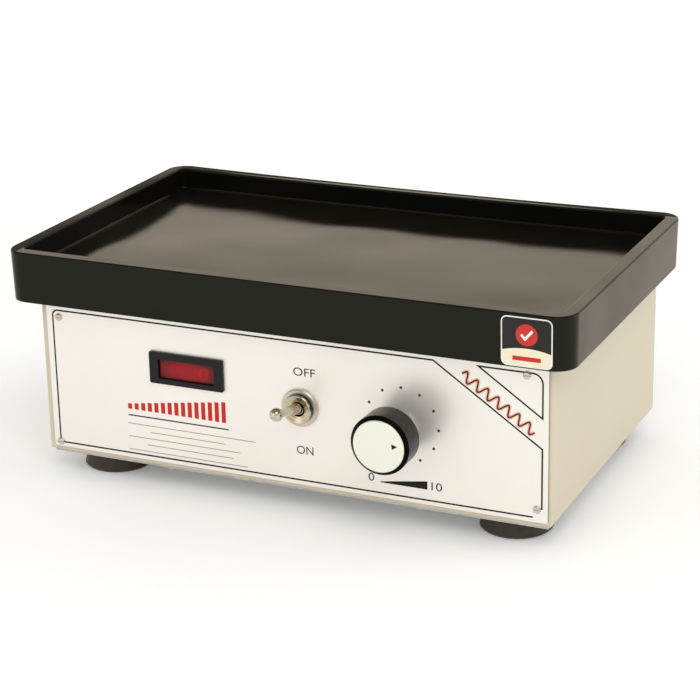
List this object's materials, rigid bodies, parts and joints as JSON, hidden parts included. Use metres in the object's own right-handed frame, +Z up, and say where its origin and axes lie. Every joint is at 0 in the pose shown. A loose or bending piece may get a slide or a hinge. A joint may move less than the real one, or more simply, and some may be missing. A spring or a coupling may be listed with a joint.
{
  "type": "vibrating table",
  "caption": "Bench vibrating table: a steel box with a display, toggle switch and knob in front, and a sprung platform under a loose black rubber tray.",
  "frame": {"origin": "on the surface the feet stand on, at the middle of the whole footprint, with lever and fuse cap", "axes": "+X to the right of someone facing the control plate, +Y to the rear, +Z up"},
  "size_m": [0.3074, 0.211, 0.1229],
  "materials": {
    "cream_enamel": "baked enamel on folded sheet steel, low gloss",
    "satin_aluminium": "satin plate with printed lines",
    "zinc_plated_steel": "bright zinc plate",
    "nickel_plate": "nickel plate, warm and polished",
    "black_rubber": "moulded rubber with a soft sheen",
    "foot_rubber": "moulded rubber, matt",
    "black_plastic": "moulded black plastic, semi gloss",
    "red_acrylic": "tinted red acrylic window",
    "digit_module": "seven segment module",
    "circuit_board": "glass fibre board with solder mask",
    "silver_cap": "satin anodised disc",
    "electrical_steel": "varnished laminations",
    "copper_winding": "enamelled copper wire",
    "white_nylon": "moulded nylon",
    "brass_contacts": "stamped brass",
    "spring_steel": "drawn spring wire",
    "bare_aluminium": "plain aluminium",
    "wire_insulation": "PVC insulation"
  },
  "bodies": {
    "housing": {"housing_shell": "cream_enamel", "base_plate": "zinc_plated_steel", "base_screws": "zinc_plated_steel", "foot_front_left": "foot_rubber", "foot_front_right": "foot_rubber", "foot_rear_left": "foot_rubber", "foot_rear_right": "foot_rubber", "foot_screws": "zinc_plated_steel", "front_plate": "satin_aluminium", "plate_screws": "nickel_plate", "display_bezel": "black_plastic", "display_lens": "red_acrylic", "display_digits": "digit_module", "display_board": "circuit_board", "switch_bush": "nickel_plate", "switch_nut": "nickel_plate", "switch_back_nut": "nickel_plate", "switch_body": "black_plastic", "switch_terminals": "brass_contacts", "pot_body": "bare_aluminium", "pot_nut": "nickel_plate", "pot_terminals": "brass_contacts", "magnet_core": "electrical_steel", "coil_bobbin": "white_nylon", "magnet_coil": "copper_winding", "front_core_clamp": "zinc_plated_steel", "rear_core_clamp": "zinc_plated_steel", "core_rivets": "zinc_plated_steel", "clamp_screws": "zinc_plated_steel", "spring_posts": "zinc_plated_steel", "spring_front_left": "spring_steel", "spring_front_right": "spring_steel", "spring_rear_left": "spring_steel", "spring_rear_right": "spring_steel", "control_board": "circuit_board", "board_standoffs": "zinc_plated_steel", "board_screws": "zinc_plated_steel", "heat_sink": "bare_aluminium", "triac": "black_plastic", "terminal_block": "white_nylon", "board_capacitor": "bare_aluminium", "power_inlet": "black_plastic", "inlet_pins": "brass_contacts", "inlet_screws": "zinc_plated_steel", "fuse_holder": "black_plastic", "fuse_nut": "nickel_plate", "wiring": "wire_insulation"},
    "platform": {"platform_plate": "zinc_plated_steel", "spring_seats": "zinc_plated_steel", "seat_screws": "zinc_plated_steel", "armature": "electrical_steel", "armature_columns": "zinc_plated_steel", "armature_screws": "zinc_plated_steel"},
    "tray": {"rubber_tray": "black_rubber"},
    "toggle_lever": {"switch_lever": "nickel_plate"},
    "regulator_knob": {"knob_body": "black_plastic", "knob_cap": "silver_cap", "knob_grub_screw": "zinc_plated_steel", "pot_shaft": "nickel_plate"},
    "fuse_cap": {"fuse_cap": "black_plastic"}
  },
  "joints": [
    {"name": "platform_shake", "type": "slide", "parent": "housing", "child": "platform", "axis": [0, 0, 1], "range_m": [-0.001, 0.001], "stiffness_N_per_m": 94000, "springref_m": 0.0002, "deforming": ["spring_front_left", "spring_front_right", "spring_rear_left", "spring_rear_right"]},
    {"name": "tray_lift", "type": "slide", "parent": "platform", "child": "tray", "axis": [0, 0, 1], "range_m": [0, 0.06]},
    {"name": "switch_throw", "type": "hinge", "parent": "housing", "child": "toggle_lever", "pos_m": [0.0108, -0.0763, 0.0572], "axis": [1, 0, 0], "range_deg": [0, 25.4]},
    {"name": "knob_turn", "type": "hinge", "parent": "housing", "child": "regulator_knob", "pos_m": [0.0651, -0.0753, 0.0549], "axis": [0, 1, 0], "range_deg": [-240, 60]},
    {"name": "fuse_cap_turn", "type": "hinge", "parent": "housing", "child": "fuse_cap", "pos_m": [0.0281, 0.0967, 0.0509], "axis": [0, 1, 0], "range_deg": [0, 90]}
  ]
}
